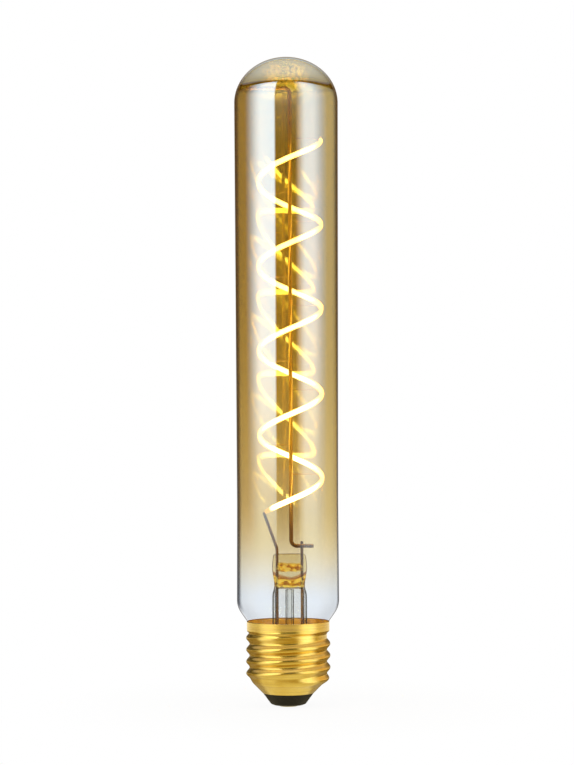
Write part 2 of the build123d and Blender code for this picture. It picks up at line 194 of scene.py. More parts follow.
def meshPiece(name, rings, node, finishes, loop=False, caps=(None, None), rowFinish=None,
              sharp=35.0):
    # rings is rows x sides x 3; rows join in order and sides close round, and a cap is the point that ends
    # the rows
    rows, sides = rings.shape[:2]
    index = np.arange(rows * sides).reshape(rows, sides)
    lower = index if loop else index[:-1]
    upper = np.roll(index, -1, 0) if loop else index[1:]
    quads = np.stack([lower, np.roll(lower, -1, 1), np.roll(upper, -1, 1), upper], -1).reshape(-1, 4)
    along = np.arange(rows + 1) / max(rows - 1, 1)
    around = np.arange(sides + 1) / sides
    u, v = np.repeat(along[: len(lower)], sides), np.tile(around[:-1], len(lower))
    du, dv = along[1], around[1]
    quadCorners = ((u, v), (u, v + dv), (u + du, v + dv), (u + du, v))
    quadUv = np.stack([np.stack(corner, -1) for corner in quadCorners], 1)
    points = rings.reshape(-1, 3)
    tris, triUv = [], []
    for cap, row, first in ((caps[0], index[0], True), (caps[1], index[-1], False)):
        if cap is None:
            continue
        points = np.vstack([points, cap])
        tip = np.full(sides, len(points) - 1)
        fan = np.stack([row, np.roll(row, -1), tip], -1)
        end = np.full(sides, 0.0 if first else 1.0)
        fanUv = np.stack([np.stack([end, q], -1) for q in (around[:-1], around[1:], around[:-1])], 1)
        tris.append(fan[:, ::-1] if first else fan)
        triUv.append(fanUv[:, ::-1] if first else fanUv)
    tris = np.vstack(tris) if tris else np.zeros((0, 3), int)
    triUv = np.vstack(triUv) if triUv else np.zeros((0, 3, 2))
    corners = np.vstack([quads[:, [0, 1, 2]], quads[:, [0, 2, 3]], tris])
    a, b, c = points[corners[:, 0]], points[corners[:, 1]], points[corners[:, 2]]
    if np.einsum("ij,ij->i", a, np.cross(b, c)).sum() < 0:  # volume below zero: faces are turned outwards
        quads, quadUv, tris, triUv = quads[:, ::-1], quadUv[:, ::-1], tris[:, ::-1], triUv[:, ::-1]
    mesh = bpy.data.meshes.new(name)
    mesh.from_pydata((points * mm).tolist(), [], quads.tolist() + tris.tolist())
    layer = mesh.uv_layers.new(name="along")
    layer.data.foreach_set("uv", np.concatenate([quadUv.ravel(), triUv.ravel()]))
    for finish in finishes:
        mesh.materials.append(finish)
    if rowFinish is not None:
        perRow = np.repeat(rowFinish[: len(lower)], sides)
        ends = [np.full(sides, rowFinish[i]) for i, cap in ((0, caps[0]), (-1, caps[1])) if cap is not None]
        mesh.polygons.foreach_set("material_index", np.concatenate([perRow, *ends]).astype(np.int32))
    mesh.polygons.foreach_set("use_smooth", np.ones(len(mesh.polygons), bool))
    mesh.set_sharp_from_angle(angle=np.radians(sharp))
    mesh.update()
    piece = placed(name, mesh)
    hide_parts(node)
    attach(piece, "root")
    return piece


def circle(sides):
    # angles of that many equal steps round a circle
    return np.arange(sides) / sides * turn


def squarish(wave, power):
    # a sine or cosine raised to a power with its sign kept: 1 is round, less is squarer
    return np.sign(wave) * np.abs(wave) ** power


def eased(share):
    # 3tt - 2ttt, from 0 to 1
    return share * share * (3 - 2 * share)


def turned(profile, sides, axis=(0.0, 0.0)):
    # each profile point (radius, height) goes once round the axis
    angle = circle(sides)
    radius, height = profile[:, :1], profile[:, 1:]
    x = axis[0] + radius * np.cos(angle)
    y = axis[1] + radius * np.sin(angle)
    return np.stack([x, y, height + 0 * angle], -1)


def bentPath(corners, radii, steps=9):
    # straight runs joined by arcs, each arc on the circle that touches the two runs at its corner
    corners = np.array(corners, float)
    parts = [corners[:1]]
    for before, here, after, radius in zip(corners[:-2], corners[1:-1], corners[2:], radii):
        back, on = unit(before - here), unit(after - here)
        half = np.arccos(np.clip(back @ on, -1, 1)) / 2
        centre = here + unit(back + on) * radius / np.sin(half)
        start = here + back * radius / np.tan(half) - centre
        end = here + on * radius / np.tan(half) - centre
        sweep = np.pi - 2 * half
        t = np.linspace(0, 1, steps)[:, None]
        parts.append(centre + (np.sin((1 - t) * sweep) * start + np.sin(t * sweep) * end) / np.sin(sweep))
    parts.append(corners[-1:])
    return np.vstack(parts)


def filled(path, gap, close=0.02):
    # extra points so that no run is longer than the gap, less those within a small share of the gap of
    # another
    reach = np.concatenate([[0], np.cumsum(np.linalg.norm(np.diff(path, axis=0), axis=1))])
    extra = np.linspace(0, reach[-1], int(reach[-1] / gap) + 2)
    spots = np.unique(np.round(np.concatenate([reach, extra]), 5))
    keep = np.concatenate([[True], np.diff(spots) > gap * close])
    keep[-1] = True
    return np.stack([np.interp(spots[keep], reach, path[:, i]) for i in range(path.shape[1])], -1)


def offsetProfile(profile, inset):
    # every point moves square to the outline by the inset
    way = unit(np.gradient(profile, axis=0))
    inset = np.broadcast_to(np.asarray(inset, float), (len(profile),))[:, None]
    return profile + np.stack([-way[:, 1], way[:, 0]], -1) * inset


def wirePiece(name, path, radius, sideways, node, finish, sides=20, chamfer=0.3):
    # a circle carried along the path, with both cut ends chamfered by a share of the radius
    path = np.asarray(path, float)
    way = unit(np.gradient(path, axis=0))
    bevel = radius * chamfer
    first, last = path[0] + way[0] * bevel, path[-1] - way[-1] * bevel
    path = np.vstack([path[:1], first[None], path[1:-1], last[None], path[-1:]])
    way = np.vstack([way[:1], way[:1], way[1:-1], way[-1:], way[-1:]])
    size = np.full(len(path), radius)
    size[[0, -1]] -= bevel
    across = unit(np.cross(np.asarray(sideways, float), way))
    beside = np.cross(way, across)
    angle = circle(sides)
    ring = across[:, None] * np.cos(angle)[:, None] + beside[:, None] * np.sin(angle)[:, None]
    rings = path[:, None] + ring * size[:, None, None]
    return meshPiece(name, rings, node, [finish], caps=(path[0], path[-1]))


def plainSolid(name, light, dark, scale, rough, metal=0.0):
    # two tones mixed by a grain that also roughens and dents the surface
    f = Finish(name)
    grain = f.noise(scale, 4.0)
    colour = f.blend(grain.step(0.3, 0.7), dark, light)
    return f.show(f.body(Base_Color=colour, Metallic=metal, Roughness=rough + grain * 0.15,
                         Normal=f.bump(grain, 0.15, 0.0002)))


# glass envelope: its shape in millimetres, then its coat with heights in metres and edges as shares of facing
bulb = {
    "top": 200.0, "dome": 14.0, "radius": 15.97, "wall": 0.4, "crownWall": 0.6, "neck": 11.0,
    "bottom": 17.0, "neckTop": 23.8, "shoulder": (15.74, 30.7), "waist": (15.58, 63.0),
    "bends": (1.2, 6.5, 400.0), "poleGap": 0.4, "sides": 160, "domeRows": 40,
    "coating": {
        "lowFade": (0.034, 0.066), "lowShare": 0.42, "highFade": (0.033, 0.150), "highShare": 0.58,
        "cloudScale": 60.0, "cloudReach": 0.004, "cloudDepth": 0.1,
    },
    "sheets": {
        "air": (0.99, 0.99, 0.99), "bend": (0.93, 0.93, 0.93), "wall": (0.51, 0.45, 0.42),
        "rim": (0.34, 0.25, 0.14), "clearWall": (0.34, 0.34, 0.355), "crownRim": (0.58, 0.53, 0.46),
        "crownTint": (0.88, 0.94, 0.95), "paintedDomeLine": (0.36, 0.23, 0.12),
    },
    "wallEdge": {
        "crown": (0.186, 0.192), "capped": (0.187, 0.198), "shoulder": (0.0285, 0.0325),
        "tubeEdge": (0.57, 0.75), "shoulderEdge": (0.78, 0.94), "crownEdge": (0.66, 0.90),
        "rimEdge": (0.76, 0.80), "bendEdge": (0.25, 0.6), "slimSide": (0.0, 0.004),
        "slimHeight": (0.06, 0.17), "slimShare": 0.11,
    },
    # painted reflection: the thin dark line round the foot of the dome
    "paintedDomeLine": {
        "foot": (0.1894, 0.1901), "top": (0.1903, 0.1908), "backRise": 0.125, "spread": 4000.0,
        "swell": 0.0005, "share": 0.70, "sideShare": 0.3,
    },
    "lustre": {
        "colour": (0.43, 0.67, 1.0), "coat": 0.395, "bare": 0.03, "roughness": 0.03, "edge": (0.62, 0.88),
    },
    "amber": {
        "clear": (0.90, 0.925, 0.955), "face": (1.0, 0.725, 0.17), "side": (1.0, 0.745, 0.25),
        "sideEdge": (0.16, 0.40), "depth": 0.58, "crown": (0.188, 0.192), "shine": (1.0, 1.0, 0.52),
        "shineShare": 0.27, "crownGain": 0.1, "bareShine": 0.01, "roughness": 0.07, "crownRoughness": 0.21,
    },
    # painted glow on the glass, standing in for the strip's light caught in it and mirrored behind the crown
    "paintedCaughtLight": {
        "colour": (1.0, 0.50, 0.05), "share": 0.11, "foot": (0.055, 0.075), "top": (0.150, 0.172),
        "edge": (0.08, 0.35), "plain": 0.35, "streaked": 0.65, "domeColour": (1.0, 0.62, 0.14),
        "domeShare": 0.42, "domeLight": 3.0, "domeSide": (1.2e-5, 8.0e-5), "domeFront": (0.001, 0.006),
        "domeBack": (0.0105, 0.0135),
    },
}


def coatShare(f):
    # two smooth steps up the lamp, added: thickest at the top, thinner down the tube, gone by the cap, a
    # little cloudy
    coating = bulb["coating"]
    cloud = f.noise(coating["cloudScale"], 3.0, (1, 1, 0.3))
    height = f.place(2) + (cloud - 0.5) * coating["cloudReach"]
    share = height.step(*coating["lowFade"]) * coating["lowShare"]
    share = share + height.step(*coating["highFade"]) * coating["highShare"]
    return share * (1.0 - coating["cloudDepth"] / 2 + cloud * coating["cloudDepth"])


def glassOutside():
    # sheets that tint what is seen through them, dark where the wall is seen edge on, under a bluish mirror
    # whose share follows the coat; a painted reflection, a thin dark brown line, runs round the foot of the
    # dome, higher at the back and thicker at the sides
    wallEdge, paintedDomeLine, lustre = bulb["wallEdge"], bulb["paintedDomeLine"], bulb["lustre"]
    f = Finish("lamp glass outside")
    facing = f.facing()
    coat = coatShare(f)
    x, y, height = f.place(0), f.place(1), f.place(2)
    crown, capped = height.step(*wallEdge["crown"]), height.step(*wallEdge["capped"])
    shoulder = 1.0 - height.step(*wallEdge["shoulder"])
    sheets = {key: f.sheet(tint) for key, tint in bulb["sheets"].items()}
    brown = f.mixed(facing.step(*wallEdge["rimEdge"]), sheets["wall"], sheets["rim"])
    tube = f.mixed(coat, sheets["clearWall"], brown)
    slim = x.step(*wallEdge["slimSide"]) * (1.0 - height.step(*wallEdge["slimHeight"]))
    edge = (facing - slim * wallEdge["slimShare"]).step(*wallEdge["tubeEdge"]) * (1.0 - capped - shoulder)
    edge = edge + facing.step(*wallEdge["shoulderEdge"]) * shoulder
    edge = edge + facing.step(*wallEdge["crownEdge"]) * capped
    through = f.mixed(facing.step(*wallEdge["bendEdge"]) * (1.0 - coat), sheets["air"], sheets["bend"])
    through = f.mixed(crown, through, sheets["crownTint"])
    # painted reflection: a dark band round the foot of the dome, higher at the back and thicker at the sides
    spread = x * x * paintedDomeLine["spread"]
    level = height - y.larger(0.0) * paintedDomeLine["backRise"]
    over = (level - spread * paintedDomeLine["swell"]).step(*paintedDomeLine["top"])
    paintedLine = level.step(*paintedDomeLine["foot"]) * (1.0 - over)
    paintedLine = paintedLine * (paintedDomeLine["share"] + spread * paintedDomeLine["sideShare"])
    through = f.mixed(paintedLine, through, sheets["paintedDomeLine"])
    through = f.mixed(edge, through, f.mixed(capped, tube, sheets["crownRim"]))
    waves = f.bump(f.noise(90.0, 2.0, (1, 1, 0.25)), 0.02, 0.0003)
    gloss = f.gloss(lustre["colour"], Roughness=lustre["roughness"], Normal=waves)
    shine = (coat * lustre["coat"] + lustre["bare"]) * (1.0 - facing.step(*lustre["edge"]))
    return f.show(f.mixed(shine, through, gloss))


def glassInside():
    # the amber under the lustre, deeper by a power of the coat, with a weak golden shine of its own that is
    # duller on the crown, plus a painted glow standing in for the strip's light caught in the glass: upright
    # streaks where the strip winds, and a patch behind the crown that is a painted reflection of the strip
    amber, paintedCaughtLight = bulb["amber"], bulb["paintedCaughtLight"]
    f = Finish("amber under the lustre")
    facing = f.facing()
    coat = coatShare(f)
    x, y, height = f.place(0), f.place(1), f.place(2)
    crown = height.step(*amber["crown"])
    tint = f.mixed(facing.step(*amber["sideEdge"]), f.sheet(amber["face"]), f.sheet(amber["side"]))
    through = f.mixed(coat ** amber["depth"], f.sheet(amber["clear"]), tint)
    gloss = f.gloss(amber["shine"], Roughness=amber["roughness"] + crown * amber["crownRoughness"])
    shine = coat * amber["shineShare"] * (1.0 + crown * amber["crownGain"]) + amber["bareShine"]
    through = f.mixed(shine, through, gloss)
    upright = f.noise(420.0, 2.0, (1, 1, 0.05)).step(0.3, 0.7)
    # painted glow in upright streaks where the strip winds
    paintedStreaks = height.step(*paintedCaughtLight["foot"]) * (1.0 - height.step(*paintedCaughtLight["top"]))
    paintedStreaks = paintedStreaks * (1.0 - facing.step(*paintedCaughtLight["edge"]))
    paintedStreaks = paintedStreaks * (paintedCaughtLight["plain"] + upright * paintedCaughtLight["streaked"])
    through = f.mixed(paintedStreaks * paintedCaughtLight["share"], through, f.glow(paintedCaughtLight["colour"]))
    # painted reflection of the strip: a glowing patch behind the crown
    paintedDomePatch = crown * (1.0 - (x * x).step(*paintedCaughtLight["domeSide"]))
    paintedDomePatch = paintedDomePatch * y.step(*paintedCaughtLight["domeFront"]) * (1.0 - y.step(*paintedCaughtLight["domeBack"]))
    paintedDomePatch = paintedDomePatch * f.noise(1000.0, 3.0, (1, 0.3, 1)).step(0.38, 0.64)
    glow = f.glow(paintedCaughtLight["domeColour"], paintedCaughtLight["domeLight"])
    return f.show(f.mixed(paintedDomePatch * paintedCaughtLight["domeShare"], through, glow))


def envelope():
    # outline from the neck up the shoulder and the slightly waisted tube, then a quarter ellipse; the
    # inside is the same outline moved in by the wall, which thickens up the dome
    base = bulb["top"] - bulb["dome"]
    line = [(bulb["neck"], bulb["bottom"]), (bulb["neck"], bulb["neckTop"]), bulb["shoulder"], bulb["waist"],
            (bulb["radius"], base)]
    side = filled(bentPath(line, bulb["bends"], steps=16), gap=3.0)
    t = np.linspace(0, np.pi / 2, bulb["domeRows"])[1:-1]
    dome = np.stack([bulb["radius"] * np.cos(t), base + bulb["dome"] * np.sin(t)], -1)
    outer = np.vstack([side, dome])
    climb = np.clip((outer[:, 1] - base) / bulb["dome"], 0, 1)
    inner = offsetProfile(outer, bulb["wall"] + (bulb["crownWall"] - bulb["wall"]) * climb)
    inner = inner[inner[:, 0] > bulb["poleGap"]]
    rings = turned(np.vstack([outer[::-1], inner]), bulb["sides"])
    tips = (np.array([0, 0, bulb["top"]]), np.array([0, 0, bulb["top"] - bulb["crownWall"]]))
    rows = np.concatenate([np.zeros(len(outer), int), np.ones(len(inner), int)])
    return meshPiece("glass_tube", rings, "glass_envelope", [glassOutside(), glassInside()],
                     caps=tips, rowFinish=rows, sharp=60.0)


envelope()
print("envelope made")

# screw cap: shell, its thread, the cone under it and the contact
cap = {
    "mouth": 7.92, "mouthHeight": 4.1, "bowlCorner": 8.2, "root": 11.95, "skirt": 12.74,
    "skirtBottom": 22.5, "skirtStep": 0.7, "rim": 26.2, "rimTurn": 0.3, "rimGap": 0.25,
    "bends": (4.4, 0.5, 0.4, 0.14), "sheet": 0.3, "sides": 180,
    "thread": {
        "crest": 1.06, "pitch": 3.63, "first": 10.2, "firstAngle": 180.0, "fullTurns": 3.0, "fadeIn": 0.9,
        "fadedIn": 0.4, "fadeOut": 0.42, "roundness": 0.9,
    },
    "brass": {
        "deep": (0.81, 0.545, 0.050), "pale": (0.91, 0.66, 0.11), "line": (0.52, 0.29, 0.04),
        "lineShare": 0.35, "metal": 0.95, "roughness": 0.15, "coat": 0.8, "coatRoughness": 0.10,
        "coatIor": 1.85,
    },
    "warm": {
        # the glows are painted light, the strip's light caught in the cap mouth
        "deep": (0.62, 0.30, 0.03), "pale": (0.90, 0.52, 0.08), "deepGlow": (0.22, 0.07, 0.0),
        "paleGlow": (0.42, 0.17, 0.006), "metal": 0.15, "roughness": 0.5,
    },
}


def satinBrass():
    # rolled brass: a cloudy mix of two tones, with fine darker lines round the shell that roughen and dent
    # it a little
    brass = cap["brass"]
    f = Finish("satin brass")
    lines = f.noise(260.0, 3.0, (0.12, 0.12, 9.0))
    cloud = f.noise(140.0, 4.0)
    colour = f.blend(cloud.step(0.35, 0.7), brass["deep"], brass["pale"])
    colour = f.blend(lines.step(0.45, 0.75) * brass["lineShare"], colour, brass["line"])
    rough = brass["roughness"] + lines * 0.12 + cloud * 0.05
    return f.show(f.body(Base_Color=colour, Metallic=brass["metal"], Roughness=rough,
                         Coat_Weight=brass["coat"], Coat_Roughness=brass["coatRoughness"],
                         Coat_IOR=brass["coatIor"], Normal=f.bump(lines, 0.08, 0.0001)))


def warmBrass(name, scale):
    # the warm side of the cap and its cement, orange in patches, partly their own colour and partly painted
    # light, with a painted glow standing in for the strip's light caught in the cap mouth: one noise mixes
    # both the two colours and the two painted glows
    warm = cap["warm"]
    f = Finish(name)
    cloud = f.noise(scale, 4.0, (1, 1, 0.6))
    patch = cloud.step(0.35, 0.65)
    return f.show(f.body(Base_Color=f.blend(patch, warm["deep"], warm["pale"]), Metallic=warm["metal"],
                         Roughness=warm["roughness"] + cloud * 0.1,
                         Emission_Color=f.blend(patch, warm["deepGlow"], warm["paleGlow"]),
                         Emission_Strength=1.0))


def threadRise(height, angle):
    # a cosine wave that climbs one pitch a turn, and fades over part of a turn at both ends
    thread = cap["thread"]
    turns = (angle - np.radians(thread["firstAngle"])) / turn
    along = (height - thread["first"]) / thread["pitch"] - turns
    count = np.round(along)
    wave = (0.5 + 0.5 * np.cos((along - count) * turn)) ** thread["roundness"]
    place = turns + count
    low = np.clip((place + thread["fadeIn"]) / (thread["fadeIn"] - thread["fadedIn"]), 0, 1)
    high = np.clip((thread["fullTurns"] + thread["fadeOut"] - place) / thread["fadeOut"], 0, 1)
    return thread["crest"] * wave * eased(np.minimum(low, high))


def screwShell():
    # sloping bowl rounded into the root cylinder, the wave on it, a step out to the skirt and a rim turned in
    line = [(cap["mouth"], cap["mouthHeight"]), (cap["root"], cap["bowlCorner"]),
            (cap["root"], cap["skirtBottom"]), (cap["skirt"], cap["skirtBottom"] + cap["skirtStep"]),
            (cap["skirt"], cap["rim"]), (cap["skirt"] - cap["rimTurn"], cap["rim"])]
    outer = filled(bentPath(line, cap["bends"], steps=10), gap=0.17)
    inner = offsetProfile(outer, cap["sheet"])
    inner[:, 0] = np.maximum(inner[:, 0], cap["mouth"])
    inner = inner[inner[:, 1] < cap["rim"] - cap["rimGap"]]
    angle = circle(cap["sides"])
    rings = []
    for side in (outer, inner[::-1][::2]):  # the inside has every other row
        radius = side[:, :1] + threadRise(side[:, 1:], angle)
        rings.append(np.stack([radius * np.cos(angle), radius * np.sin(angle), side[:, 1:] + 0 * angle], -1))
    rows = np.repeat([0, 1], [len(rings[0]), len(rings[1])])
    finishes = [satinBrass(), warmBrass("inside of the shell", scale=300.0)]
    return meshPiece("brass_cap", np.vstack(rings), "screw_shell", finishes, loop=True,
                     rowFinish=rows)


cone = {
    "outline": [(1.05, 0.4), (4.5, 0.4), (5.4, 0.75), (7.80, 4.0), (7.82, 4.6), (8.6, 5.6), (1.05, 5.6)],
    "bends": (0.4, 0.8, 0.3, 0.2, 0.2), "sides": 96, "dark": (0.009, 0.007, 0.003),
    "light": (0.017, 0.014, 0.008), "roughness": 0.42, "shine": 0.18,
}


def blackGlass():
    # dark fired glass: two near blacks mixed by a cloudy noise, which also roughens and dents it
    f = Finish("black insulator")
    cloud = f.noise(300.0, 4.0)
    return f.show(f.body(Base_Color=f.blend(cloud, cone["dark"], cone["light"]),
                         Roughness=cone["roughness"] + cloud * 0.15, Specular_IOR_Level=cone["shine"],
                         Normal=f.bump(cloud, 0.06, 0.0002)))


def insulator():
    # a cone with a rounded nose, a flat ring round the contact, and a plain inside
    outline = filled(bentPath(cone["outline"], cone["bends"], steps=6), gap=0.4)
    return meshPiece("cap_cone", turned(outline, cone["sides"]), "cap_insulator",
                     [blackGlass()], loop=True)


contact = {
    "outline": [(0.9, 0.0), (2.8, 0.0), (3.2, 0.2), (3.2, 0.4), (1.0, 0.4), (1.0, 6.0), (0.4, 6.0)],
    "bends": (0.25, 0.15, 0.08, 0.1, 0.2), "sides": 64, "light": (0.62, 0.54, 0.36),
    "dark": (0.42, 0.34, 0.2), "grain": 400.0, "roughness": 0.3,
}


def endContact():
    # a shallow dish with a rivet up its middle
    outline = bentPath(contact["outline"], contact["bends"], steps=5)
    tips = [np.array([0, 0, contact["outline"][end][1]]) for end in (0, -1)]
    finish = plainSolid("contact metal", contact["light"], contact["dark"], contact["grain"],
                        contact["roughness"], metal=1.0)
    return meshPiece("end_contact", turned(outline, contact["sides"]), "centre_contact",
                     [finish], caps=tips)


screwShell()
insulator()
endContact()
print("cap made")

# stem: the flared tube with its press, and the exhaust tube in it
stem = {
    "axis": 0.5, "tube": 5.35, "foot": 16.2, "flare": 9.45, "flareTop": 22.0, "flarePower": 2.2,
    "wall": 0.5, "pressFoot": 35.0, "pressRise": 5.5, "depth": 2.4, "squareness": 1.2, "crownFrom": 46.1,
    "crownRise": 0.82, "crownInset": 0.8, "sides": 72, "edge": (0.46, 0.72), "flareRows": 16,
    "tubeRows": (22.6, 34.4, 20), "pressRows": (34.8, 46.2, 50), "topRows": (46.5, 46.7, 46.83, 46.9),
    "widthAt": (34.6, 36.2, 37.6, 39.4, 41.2, 42.8, 44.6, 46.9),
    "widths": (5.35, 4.78, 4.70, 4.95, 5.28, 5.40, 5.28, 4.93), "widthBlur": 7,
    "hollow": [(7.2, 18.2), (5.4, 20.4), (4.55, 22.4), (4.55, 35.0), (4.3, 36.1), (4.0, 36.4), (0.8, 36.5)],
    # gold, deep and brown are painted refraction of the lamp's light in the press
    "sheets": {
        "clear": (0.968, 0.968, 0.958), "cast": (0.90, 0.86, 0.70), "gold": (0.92, 0.66, 0.08),
        "deep": (0.66, 0.38, 0.03), "brown": (0.58, 0.26, 0.04), "greyEdge": (0.34, 0.32, 0.30),
        "brownEdge": (0.42, 0.26, 0.10),
    },
    # painted refraction and glow in the press: gold and brown bands, and lit golden patches
    "press": {
        "waver": 0.0014, "sag": 70.0, "middle": (1.2e-5, 1.9e-5), "lowFoot": (0.0366, 0.0372),
        "lowTop": (0.0386, 0.0391), "highFoot": (0.0414, 0.0419), "highTop": (0.0436, 0.0442),
        "brownFoot": (0.0386, 0.0390), "brownTop": (0.0394, 0.0400), "brownShare": 0.7,
        "cast": (0.0385, 0.0395), "edgeTint": (0.0350, 0.0375), "lit": (1.0, 0.74, 0.12), "litShare": 0.6,
        "shine": 0.015, "edgeShine": 0.04, "roughness": 0.04,
    },
}


def clearGlass(name, edge):
    # thin clear glass, dark where it is seen edge on; the press carries painted refraction of the lamp's
    # light, golden in two broken bands with a brown one between, and the lower band's edge sags by the square
    # of the distance from the middle; golden patches in the bands get a painted glow
    press = stem["press"]
    f = Finish(name)
    facing = f.facing()
    blur = f.noise(380.0, 3.0)
    patch = f.noise(620.0, 2.0, (1, 1, 1.6))
    height = f.place(2) + (blur - 0.5) * press["waver"]
    out = f.place(0) - stem["axis"] * mm
    sag = height - out * out * press["sag"]
    middle = 1.0 - (out * out).step(*press["middle"])
    low = height.step(*press["lowFoot"]) * (1.0 - sag.step(*press["lowTop"]))
    high = height.step(*press["highFoot"]) * (1.0 - height.step(*press["highTop"])) * middle
    paintedGoldBands = low + high
    paintedBrownBand = sag.step(*press["brownFoot"]) * (1.0 - sag.step(*press["brownTop"]))
    sheets = {key: f.add("ShaderNodeBsdfRefraction", values={"Color": tint, "Roughness": 0.0, "IOR": 1.0})
              for key, tint in stem["sheets"].items()}
    gold = f.mixed(patch.step(0.40, 0.54), sheets["deep"], sheets["gold"])
    plain = f.mixed(height.step(*press["cast"]), sheets["clear"], sheets["cast"])
    through = f.mixed(paintedGoldBands, plain, gold)
    through = f.mixed(paintedBrownBand * press["brownShare"], through, sheets["brown"])
    rim = f.mixed(height.step(*press["edgeTint"]), sheets["greyEdge"], sheets["brownEdge"])
    through = f.mixed(facing.step(*edge), through, rim)
    # painted glow: golden patches in the bands give light of their own
    through = f.mixed(paintedGoldBands * patch.step(0.45, 0.60) * press["litShare"], through, f.glow(press["lit"]))
    gloss = f.gloss((1.0, 1.0, 1.0), Roughness=press["roughness"], Normal=f.bump(blur, 0.15, 0.0004))
    return f.show(f.mixed(press["shine"] + facing.step(0.3, 0.8) * press["edgeShine"], through, gloss))


def glassStem():
    # round tube below that narrows to a waist and is pressed flat front to back above, hollow up to the
    # press; each row is an ellipse that grows squarer up the press
    z = np.concatenate([np.linspace(stem["foot"], stem["flareTop"], stem["flareRows"]),
                        np.linspace(*stem["tubeRows"]), np.linspace(*stem["pressRows"]), stem["topRows"]])
    flare = np.clip((stem["flareTop"] - z) / (stem["flareTop"] - stem["foot"]), 0, 1) ** stem["flarePower"]
    wide = np.interp(z, stem["widthAt"], stem["widths"])
    blur = stem["widthBlur"]
    wide = np.convolve(np.pad(wide, blur // 2, "edge"), np.ones(blur) / blur, "valid")
    wide = wide + flare * (stem["flare"] - stem["tube"])
    squeeze = eased(np.clip((z - stem["pressFoot"]) / stem["pressRise"], 0, 1))
    deep = wide * (1 - squeeze) + stem["depth"] * squeeze
    crown = np.sqrt(np.clip(1 - (np.clip(z - stem["crownFrom"], 0, None) / stem["crownRise"]) ** 2, 0.0, 1))
    inset = stem["crownInset"] * (1 - crown)
    wide, deep = (wide - inset)[:, None], (deep - inset)[:, None]
    power = 2 / (2 + stem["squareness"] * squeeze[:, None])
    angle = circle(stem["sides"])
    x, y = wide * squarish(np.cos(angle), power), deep * squarish(np.sin(angle), power)
    outer = np.stack([stem["axis"] + x, y, z[:, None] + 0 * angle], -1)
    hollow = filled(np.array([(stem["flare"] - stem["wall"], stem["foot"]), *stem["hollow"]]), gap=1.2)
    inner = turned(hollow, stem["sides"], (stem["axis"], 0.0))
    tips = [np.array([stem["axis"], 0, end]) for end in (stem["topRows"][-1], stem["hollow"][-1][1])]
    return meshPiece("stem_glass", np.vstack([outer[::-1], inner]), "glass_stem",
                     [clearGlass("stem glass", stem["edge"])], caps=tips, sharp=50.0)


exhaust = {
    "outline": [(0.3, 13.4), (1.3, 13.4), (1.3, 36.0), (0.7, 36.0), (0.7, 15.0), (0.2, 15.0)],
    "bends": (0.9, 0.1, 0.1, 0.4), "sides": 40, "edge": (0.2, 0.5),
}


def exhaustTube():
    # thin tube up the middle of the stem, round at its sealed lower end
    outline = filled(bentPath(exhaust["outline"], exhaust["bends"], steps=7), gap=1.5)
    tips = [np.array([stem["axis"], 0, exhaust["outline"][end][1]]) for end in (0, -1)]
    return meshPiece("exhaust_glass", turned(outline, exhaust["sides"], (stem["axis"], 0.0)), "exhaust_tube",
                     [clearGlass("exhaust glass", exhaust["edge"])], caps=tips)


glassStem()
exhaustTube()
print("stem made")

# lit strip, its tabs and the wires that carry it
strip = {
    "centre": (1.05, -1.10), "radius": 9.65, "bottom": 61.0, "pitch": 26.003, "start": -130.0,
    "turns": 4.0 + 130 / 360, "width": 1.70, "thickness": 1.40, "squareness": 0.8, "ends": (0.72, 0.95),
    "stations": 560, "sides": 28, "core": (1.0, 0.98, 0.88), "edge": (1.0, 0.97, 0.52), "coreLight": 11.0,
    "edgeLight": 2.2, "silicone": (0.9, 0.66, 0.22), "warmEdge": (0.20, 0.47), "clearEdge": (0.34, 0.94),
    "tip": 0.012, "tipShare": 0.92, "chips": 170.0, "chipShare": 0.12,
}
topAngle = strip["start"] + 360 * strip["turns"]


def litStrip():
    # phosphor silicone over a row of chips that ripples the light by a sine: white where it is thin,
    # yellower through the thicker silicone of the edges and the cut ends, with a clear skin that shows
    # where it is seen edge on
    f = Finish("lit strip")
    along = f.along()
    tips = (1.0 - along.step(0.0, strip["tip"])) + along.step(1.0 - strip["tip"], 1.0)
    facing = f.facing()
    chips = along.maths("SINE", along * (turn * strip["chips"]))
    warm = facing.step(*strip["warmEdge"]).larger(tips * strip["tipShare"])
    core = tuple(c * strip["coreLight"] for c in strip["core"])
    rim = tuple(c * strip["edgeLight"] for c in strip["edge"])
    light = f.blend(warm, core, rim)
    light = f.blend(chips.step(-0.6, 1.0) * strip["chipShare"], light, rim)
    silicone = f.body(Base_Color=strip["silicone"], Roughness=0.5, Emission_Color=light,
                      Emission_Strength=1.0)
    return f.show(f.mixed(facing.step(*strip["clearEdge"]), silicone, f.sheet((1.0, 1.0, 1.0))))


def coilSpot(angle):
    # point, outward way and way along the helix at an angle in degrees: one pitch up for each 360
    a = np.radians(np.asarray(angle, float))
    height = strip["bottom"] + strip["pitch"] * (np.asarray(angle) - strip["start"]) / 360
    out = np.stack([np.cos(a), np.sin(a), 0 * a], -1)
    spot = np.stack([strip["centre"][0] + strip["radius"] * out[..., 0],
                     strip["centre"][1] + strip["radius"] * out[..., 1], height], -1)
    way = unit(np.stack([-np.sin(a), np.cos(a), 0 * a + strip["pitch"] / turn / strip["radius"]], -1))
    return spot, out, way


